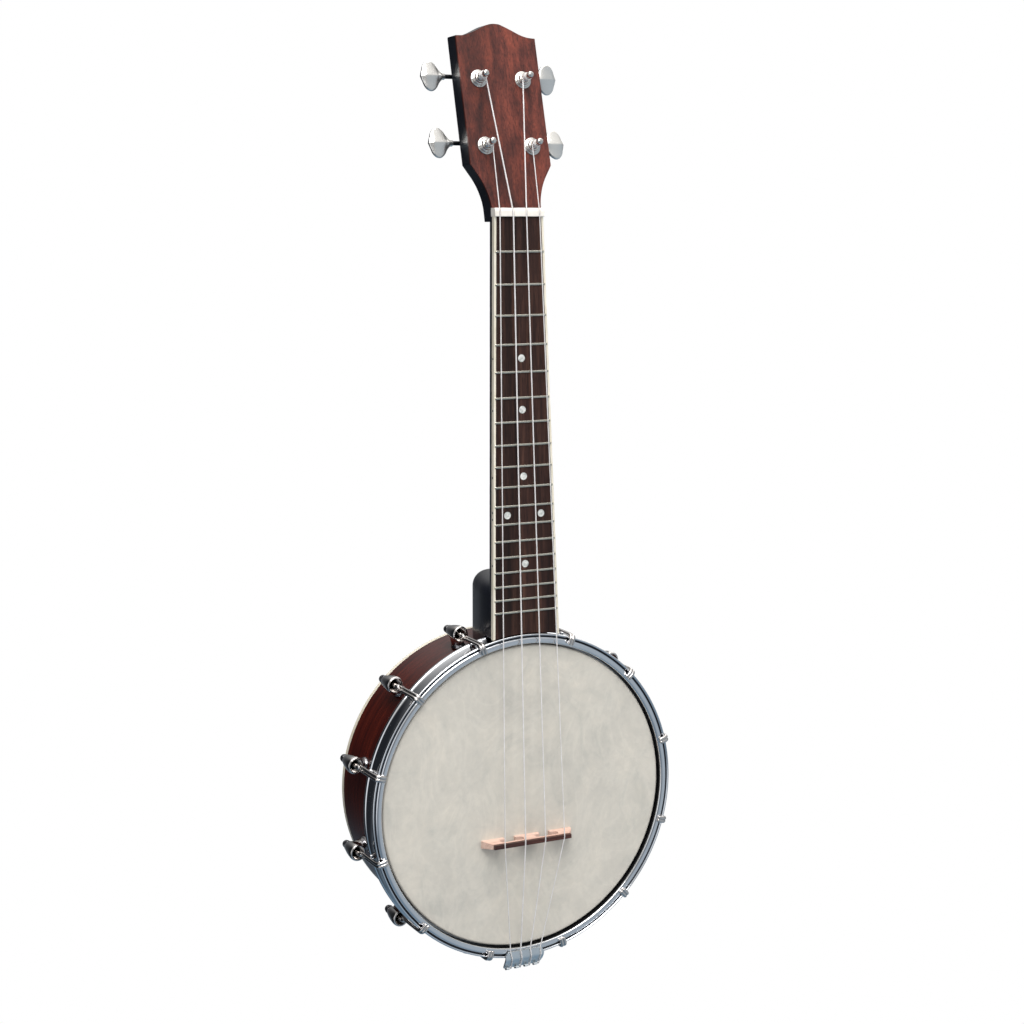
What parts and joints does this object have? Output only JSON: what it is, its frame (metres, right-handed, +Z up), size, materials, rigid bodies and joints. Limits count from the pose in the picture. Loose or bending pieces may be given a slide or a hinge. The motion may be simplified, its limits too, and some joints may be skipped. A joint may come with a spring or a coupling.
{
  "type": "banjo ukulele",
  "caption": "Banjo ukulele: fretted neck with geared tuners on a round wooden pot, its skin head drawn tight by a hoop, hooks and nuts, with bridge, strings and tailpiece.",
  "frame": {"origin": "where a hanger's yoke holds the neck, under the headstock's flare, on the neck's middle plane", "axes": "+Z up the instrument from pot to headstock, -Y out of the head towards the player's view, +X to the right seen from the front"},
  "size_m": [0.229, 0.0821, 0.6197],
  "materials": {
    "black_wood": "satin black lacquer",
    "head_veneer": "satin reddish brown",
    "rosewood": "open grain",
    "cream_plastic": "smooth",
    "nut_plastic": "smooth",
    "fret_metal": "polished",
    "pearl": "pearly",
    "black_plastic": "smooth",
    "chrome": "polished",
    "dark_steel": "polished",
    "brass": "machined",
    "rim_wood": "gloss reddish brown",
    "skin": "mottled ivory",
    "maple": "bare",
    "cap_wood": "bare dark",
    "nylon": "clear",
    "aluminium": "plain",
    "button_chrome": "polished",
    "tail_chrome": "satin"
  },
  "bodies": {
    "instrument": {"fretboard": "rosewood", "fretboard_binding": "cream_plastic", "side_dots": "black_plastic", "position_dots": "pearl", "frets": "fret_metal", "nut": "nut_plastic", "headstock_overlay": "head_veneer", "neck": "black_wood", "tuner_plates": "chrome", "tuner_plate_screws": "chrome", "tuner_washers": "chrome", "tuner_bushings": "chrome", "string_1": "nylon", "string_2": "nylon", "string_3": "nylon", "string_4": "nylon", "rim": "rim_wood", "rim_binding": "cream_plastic", "drumhead": "skin", "flesh_hoop": "aluminium", "tension_hoop": "chrome", "hooks": "chrome", "bracket_shoes": "chrome", "hook_nuts": "dark_steel", "shoe_screws": "chrome", "shoe_washers": "chrome", "coordinator_rod": "chrome", "heel_bolt": "dark_steel", "rod_nuts": "chrome", "rod_washers": "chrome", "tail_bolt": "chrome", "tailpiece": "tail_chrome", "bridge": "maple", "bridge_cap": "cap_wood"},
    "button_upper_left": {"worm_shaft_upper_left": "dark_steel", "tuning_button_upper_left": "button_chrome"},
    "post_upper_left": {"string_post_upper_left": "chrome", "worm_wheel_upper_left": "brass", "gear_screw_upper_left": "chrome", "string_wrap_upper_left": "nylon"},
    "button_lower_left": {"worm_shaft_lower_left": "dark_steel", "tuning_button_lower_left": "button_chrome"},
    "post_lower_left": {"string_post_lower_left": "chrome", "worm_wheel_lower_left": "brass", "gear_screw_lower_left": "chrome", "string_wrap_lower_left": "nylon"},
    "button_upper_right": {"worm_shaft_upper_right": "dark_steel", "tuning_button_upper_right": "button_chrome"},
    "post_upper_right": {"string_post_upper_right": "chrome", "worm_wheel_upper_right": "brass", "gear_screw_upper_right": "chrome", "string_wrap_upper_right": "nylon"},
    "button_lower_right": {"worm_shaft_lower_right": "dark_steel", "tuning_button_lower_right": "button_chrome"},
    "post_lower_right": {"string_post_lower_right": "chrome", "worm_wheel_lower_right": "brass", "gear_screw_lower_right": "chrome", "string_wrap_lower_right": "nylon"}
  },
  "joints": [
    {"name": "button_turn_upper_left", "type": "hinge", "parent": "instrument", "child": "button_upper_left", "pos_m": [-0.0158, 0.03032, 0.07073], "axis": [1, 0, 0], "continuous": true},
    {"name": "post_turn_upper_left", "type": "hinge", "parent": "instrument", "child": "post_upper_left", "pos_m": [-0.0158, 0.0129, 0.06894], "axis": [0, -0.9633, 0.2685], "continuous": true},
    {"name": "button_turn_lower_left", "type": "hinge", "parent": "instrument", "child": "button_lower_left", "pos_m": [-0.0166, 0.0185, 0.02834], "axis": [1, 0, 0], "continuous": true},
    {"name": "post_turn_lower_left", "type": "hinge", "parent": "instrument", "child": "post_lower_left", "pos_m": [-0.0166, 0.00108, 0.02656], "axis": [0, -0.9633, 0.2685], "continuous": true},
    {"name": "button_turn_upper_right", "type": "hinge", "parent": "instrument", "child": "button_upper_right", "pos_m": [0.0158, 0.03032, 0.07073], "axis": [1, 0, 0], "continuous": true},
    {"name": "post_turn_upper_right", "type": "hinge", "parent": "instrument", "child": "post_upper_right", "pos_m": [0.0158, 0.0129, 0.06894], "axis": [0, -0.9633, 0.2685], "continuous": true},
    {"name": "button_turn_lower_right", "type": "hinge", "parent": "instrument", "child": "button_lower_right", "pos_m": [0.0166, 0.0185, 0.02834], "axis": [1, 0, 0], "continuous": true},
    {"name": "post_turn_lower_right", "type": "hinge", "parent": "instrument", "child": "post_lower_right", "pos_m": [0.0166, 0.00108, 0.02656], "axis": [0, -0.9633, 0.2685], "continuous": true}
  ],
  "couplings": [
    {"joint": "post_turn_upper_left", "follows": "button_turn_upper_left", "ratio": 0.071429},
    {"joint": "post_turn_lower_left", "follows": "button_turn_lower_left", "ratio": 0.071429},
    {"joint": "post_turn_upper_right", "follows": "button_turn_upper_right", "ratio": 0.071429},
    {"joint": "post_turn_lower_right", "follows": "button_turn_lower_right", "ratio": 0.071429}
  ]
}
